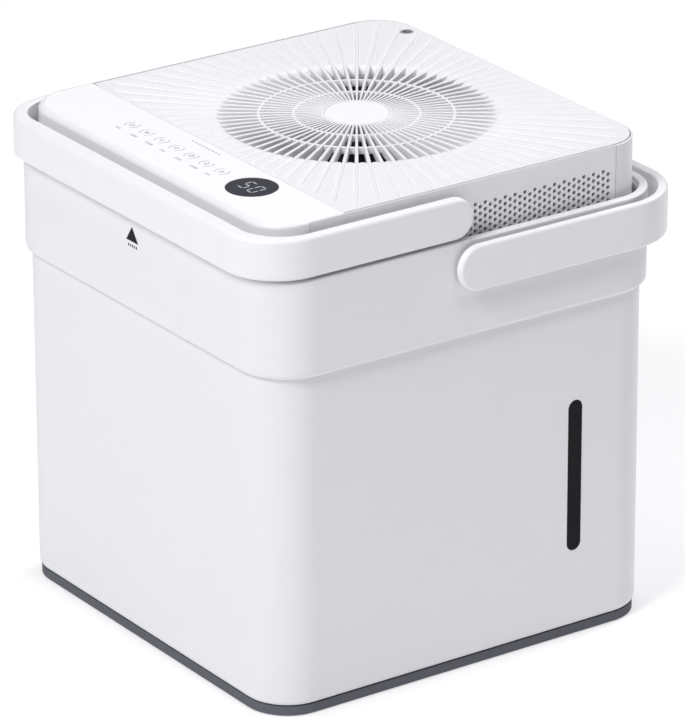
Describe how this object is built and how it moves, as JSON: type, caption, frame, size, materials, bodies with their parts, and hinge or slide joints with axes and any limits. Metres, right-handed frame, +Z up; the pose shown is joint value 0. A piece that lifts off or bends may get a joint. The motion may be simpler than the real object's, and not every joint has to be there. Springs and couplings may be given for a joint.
{
  "type": "dehumidifier",
  "caption": "Cube dehumidifier: a square machine head with a round top air outlet, nested in a water bucket; a folding handle on each.",
  "frame": {"origin": "middle of the whole footprint, on the floor under the rubber feet", "axes": "+Z up; -Y the front, with the control strip and the folded head handle; +X the side with the water window"},
  "size_m": [0.345, 0.3546, 0.3526],
  "materials": {
    "body_white": "satin",
    "handle_white": "satin",
    "top_white": "satin",
    "strip_white": "satin",
    "ink_black": "printed or moulded black",
    "smoke_window": "gloss",
    "rubber_black": "matte",
    "mat_grey": "matte",
    "steel": "zinc plated",
    "icon_grey": "satin",
    "display_charcoal": "gloss",
    "circuit_green": "solder mask",
    "inner_white": "moulded",
    "filter_grey": "mesh",
    "fin_aluminium": "plain",
    "copper": "copper tube",
    "black_enamel": "enamel",
    "fan_grey": "moulded",
    "hose_clear": "clear silicone",
    "port_grey": "satin",
    "float_white": "moulded foam"
  },
  "bodies": {
    "bucket": {"bucket": "body_white", "rim_collar": "body_white", "align_mark": "ink_black", "water_window": "smoke_window", "window_gasket": "rubber_black", "base_mat": "mat_grey", "rubber_feet": "rubber_black", "foot_screws": "steel", "bucket_handle_pins": "steel"},
    "bucket_handle": {"bucket_handle": "handle_white"},
    "head_handle": {"head_handle": "handle_white"},
    "fan": {"fan_rotor": "fan_grey", "fan_shaft": "steel", "fan_nut": "steel"},
    "float": {"float": "float_white"},
    "collet": {"pump_collet": "port_grey"},
    "head": {"top_cover": "top_white", "rear_trim": "top_white", "port_plate": "top_white", "badge_disc": "strip_white", "control_panel": "strip_white", "touch_icons": "icon_grey", "display_lens": "display_charcoal", "display_board": "circuit_green", "front_casing": "body_white", "side_panel_right": "body_white", "side_panel_left": "body_white", "rear_casing": "body_white", "casing_screws": "steel", "lower_shell": "inner_white", "drip_tray": "inner_white", "air_filter_right": "filter_grey", "air_filter_left": "filter_grey", "head_handle_pins": "steel", "head_handle_bushes": "icon_grey", "evaporator_fins": "fin_aluminium", "evaporator_tubes": "copper", "condenser_fins": "fin_aluminium", "condenser_tubes": "copper", "compressor": "black_enamel", "compressor_feet": "rubber_black", "accumulator": "black_enamel", "capillary_tube": "copper", "fan_shroud": "fan_grey", "fan_motor": "steel", "motor_bracket": "steel", "control_box": "inner_white", "main_board": "circuit_green", "run_capacitor": "fin_aluminium", "humidity_sensor": "circuit_green", "pump": "fan_grey", "pump_hose": "hose_clear", "pump_port": "fan_grey", "float_bracket": "inner_white", "float_pin": "steel", "float_switch": "ink_black", "power_inlet": "ink_black"}
  },
  "joints": [
    {"name": "head_lift", "type": "slide", "parent": "bucket", "child": "head", "axis": [0, 0, 1], "range_m": [0, 0.26]},
    {"name": "head_handle_fold", "type": "hinge", "parent": "head", "child": "head_handle", "pos_m": [0, -0.0197, 0.333], "axis": [-1, 0, 0], "range_deg": [0, 85]},
    {"name": "bucket_handle_fold", "type": "hinge", "parent": "bucket", "child": "bucket_handle", "pos_m": [0, -0.0047, 0.2977], "axis": [-1, 0, 0], "range_deg": [-85, 0]},
    {"name": "fan_spin", "type": "hinge", "parent": "head", "child": "fan", "pos_m": [0, 0.0149, 0.3], "axis": [0, 0, 1], "continuous": true},
    {"name": "float_swing", "type": "hinge", "parent": "head", "child": "float", "pos_m": [0.06, 0.0303, 0.117], "axis": [1, 0, 0], "range_deg": [0, 8]},
    {"name": "collet_press", "type": "slide", "parent": "head", "child": "collet", "axis": [0, 0, -1], "range_m": [0, 0.0012], "stiffness_N_per_m": 800}
  ]
}
